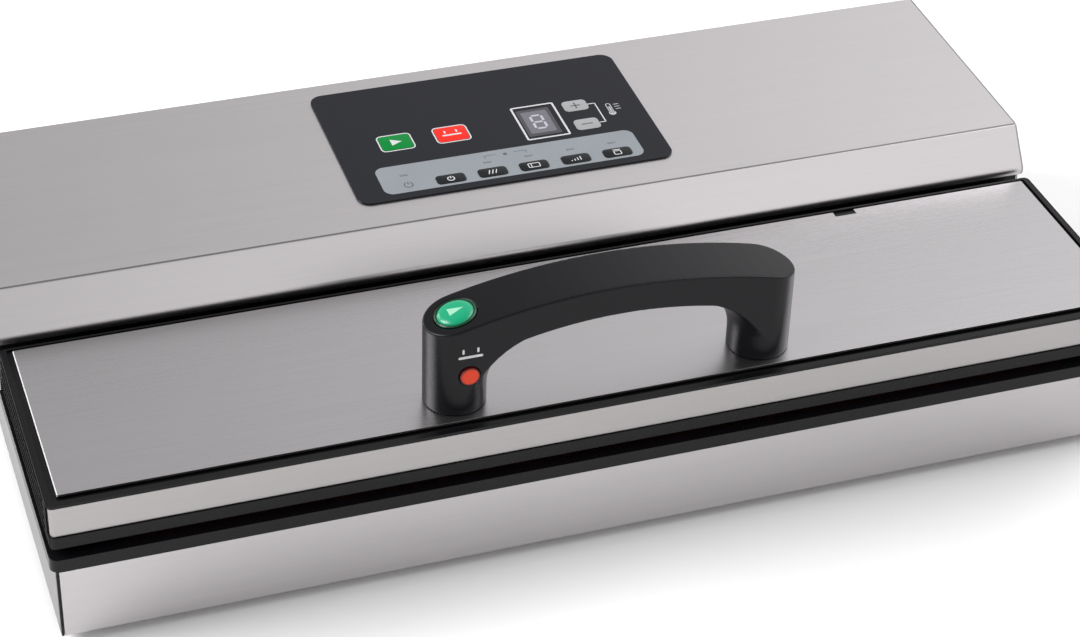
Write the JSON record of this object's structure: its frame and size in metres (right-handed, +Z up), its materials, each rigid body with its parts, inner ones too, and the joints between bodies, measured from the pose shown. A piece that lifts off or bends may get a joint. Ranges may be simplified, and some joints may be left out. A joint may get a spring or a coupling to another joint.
{
  "type": "vacuum sealer",
  "caption": "Countertop vacuum sealer: steel base and rear housing with a control panel, and a hinged lid with a grip handle and its buttons",
  "frame": {"origin": "centre of the footprint on the surface that the feet stand on", "axes": "+X along the sealing bar to the right, +Y from the front to the back, +Z up"},
  "size_m": [0.472, 0.24, 0.1209],
  "materials": {
    "brushed_steel": "brushed stainless sheet, grain along the width",
    "black_plastic": "black moulded plastic, fine satin texture",
    "handle_plastic": "charcoal moulded plastic with a soft shine",
    "overlay_film": "charcoal printed polyester film",
    "smoked_window": "smoked grey window",
    "rubber": "black moulded rubber",
    "foam": "closed-cell foam strip",
    "silicone": "red-brown silicone strip",
    "white_resin": "pale insulating resin",
    "ptfe": "woven glass tape coated with fluoropolymer",
    "plated_steel": "bright zinc-plated steel",
    "heating_alloy": "thin heating strip",
    "brass": "turned brass",
    "circuit_board": "green circuit board",
    "motor_steel": "dull plated motor can",
    "cast_alloy": "cast alloy pump head",
    "core_iron": "varnished laminations and a taped winding",
    "hose_silicone": "milky silicone tube",
    "valve_blue": "blue coil wrap",
    "led_lens": "milky lamp lens",
    "display_grey": "display block",
    "start_green": "green moulded button",
    "seal_red": "orange-red moulded button",
    "rocker_red": "dark red rocker"
  },
  "bodies": {
    "base": {"base_pan": "plated_steel", "base_front_panel": "brushed_steel", "base_side_left": "brushed_steel", "base_side_right": "brushed_steel", "corner_trims": "black_plastic", "feet": "rubber", "foot_screws": "plated_steel", "pan_screws": "plated_steel", "base_deck": "black_plastic", "drip_tray": "brushed_steel", "lower_gasket": "foam", "seal_bar": "white_resin", "heating_element": "heating_alloy", "release_tape": "ptfe", "element_clamps": "brass", "hinge_bracket_left": "plated_steel", "hinge_bracket_right": "plated_steel", "hinge_pins": "plated_steel", "rear_cover": "brushed_steel", "rear_panel": "plated_steel", "rear_screws": "plated_steel", "control_overlay": "overlay_film", "display_window": "smoked_window", "display_module": "display_grey", "control_board": "circuit_board", "board_posts": "brass", "key_switches": "black_plastic", "indicator_leds": "led_lens", "power_board": "circuit_board", "transformer": "core_iron", "transformer_screws": "plated_steel", "pump_motor": "motor_steel", "pump_heads": "cast_alloy", "pump_bracket": "plated_steel", "pump_mounts": "rubber", "vacuum_nozzle": "black_plastic", "vacuum_hoses": "hose_silicone", "vacuum_manifold": "black_plastic", "release_valve": "valve_blue", "fan_frame": "black_plastic", "fan_screws": "plated_steel", "power_inlet": "black_plastic", "fuse_holder": "black_plastic", "rocker_frame": "black_plastic"},
    "lid": {"lid_panel": "brushed_steel", "lid_frame": "black_plastic", "lid_band": "brushed_steel", "lid_underside": "black_plastic", "underside_screws": "plated_steel", "upper_gasket": "foam", "seal_pad": "silicone", "hinge_arms": "plated_steel", "handle": "handle_plastic", "handle_screws": "plated_steel", "handle_board": "circuit_board"},
    "start_button": {"start_button": "start_green"},
    "seal_button": {"seal_button": "seal_red"},
    "fan_rotor": {"fan_rotor": "black_plastic"},
    "power_rocker": {"power_rocker": "rocker_red"}
  },
  "joints": [
    {"name": "lid_hinge", "type": "hinge", "parent": "base", "child": "lid", "pos_m": [0, -0.018, 0.059], "axis": [-1, 0, 0], "range_deg": [0, 70]},
    {"name": "start_press", "type": "slide", "parent": "lid", "child": "start_button", "axis": [0.2481, 0, -0.9687], "range_m": [0, 0.0015], "stiffness_N_per_m": 700, "springref_m": -0.001},
    {"name": "seal_press", "type": "slide", "parent": "lid", "child": "seal_button", "axis": [0, 1, 0], "range_m": [0, 0.001], "stiffness_N_per_m": 700, "springref_m": -0.001},
    {"name": "fan_spin", "type": "hinge", "parent": "base", "child": "fan_rotor", "pos_m": [0.166, 0.1026, 0.0382], "axis": [0, 1, 0], "continuous": true},
    {"name": "rocker_tilt", "type": "hinge", "parent": "base", "child": "power_rocker", "pos_m": [-0.132, 0.1148, 0.04], "axis": [1, 0, 0], "range_deg": [0, 18]}
  ]
}
